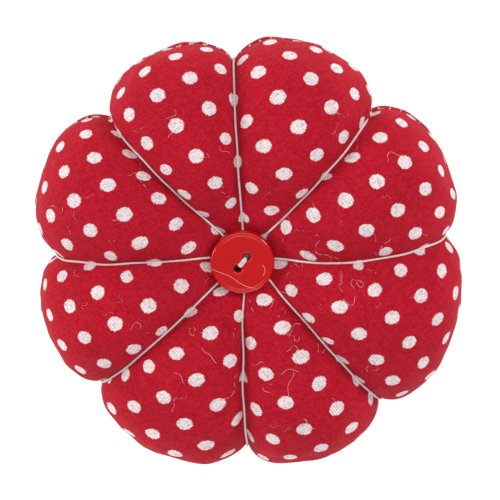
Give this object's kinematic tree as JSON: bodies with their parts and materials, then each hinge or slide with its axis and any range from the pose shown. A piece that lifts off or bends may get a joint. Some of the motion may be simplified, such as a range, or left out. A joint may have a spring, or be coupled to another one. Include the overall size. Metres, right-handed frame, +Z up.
{
  "type": "pincushion",
  "caption": "Round stuffed cotton cushion drawn into petal-like lobes by thread, with a button in the middle, for holding sewing pins and needles.",
  "frame": {"origin": "centre of the bottom of the bounding box, on the surface that the cushion stands on", "axes": "+Z up, along the core threads and through both buttons; +X and +Y across the cushion, with the crease of section_thread_1 about 3.5 degrees anticlockwise of +X"},
  "size_m": [0.1002, 0.1018, 0.04],
  "materials": {
    "printed_cotton": "plain weave, printed red with white dots",
    "fibre_filling": "packed white polyester fibre",
    "white_thread": "soft pale pink cotton thread",
    "sewing_thread": "fine pale cotton sewing thread",
    "button_polyester": "polished red polyester"
  },
  "bodies": {
    "cushion": {"top_cover": "printed_cotton", "bottom_cover": "printed_cotton", "filling": "fibre_filling", "section_thread_1": "white_thread", "section_thread_2": "white_thread", "section_thread_3": "white_thread", "section_thread_4": "white_thread", "section_thread_5": "white_thread", "section_thread_6": "white_thread", "section_thread_7": "white_thread", "section_thread_8": "white_thread", "core_bundle": "white_thread", "seam_thread": "sewing_thread", "closing_thread": "sewing_thread"},
    "top_button": {"top_button": "button_polyester", "top_button_stitch": "white_thread"},
    "backing_button": {"backing_button": "button_polyester", "backing_button_stitch": "white_thread", "tie_off_knot": "white_thread"}
  },
  "joints": [
    {"name": "top_button_turn", "type": "hinge", "parent": "cushion", "child": "top_button", "pos_m": [-0.00176, 0.00106, 0.031], "axis": [0, 0, 1], "range_deg": [-15, 15], "stiffness_Nm_per_rad": 0.0001},
    {"name": "backing_button_turn", "type": "hinge", "parent": "cushion", "child": "backing_button", "pos_m": [-0.00106, 0.00176, 0.0044], "axis": [0, 0, 1], "range_deg": [-12, 12], "stiffness_Nm_per_rad": 0.0001}
  ]
}
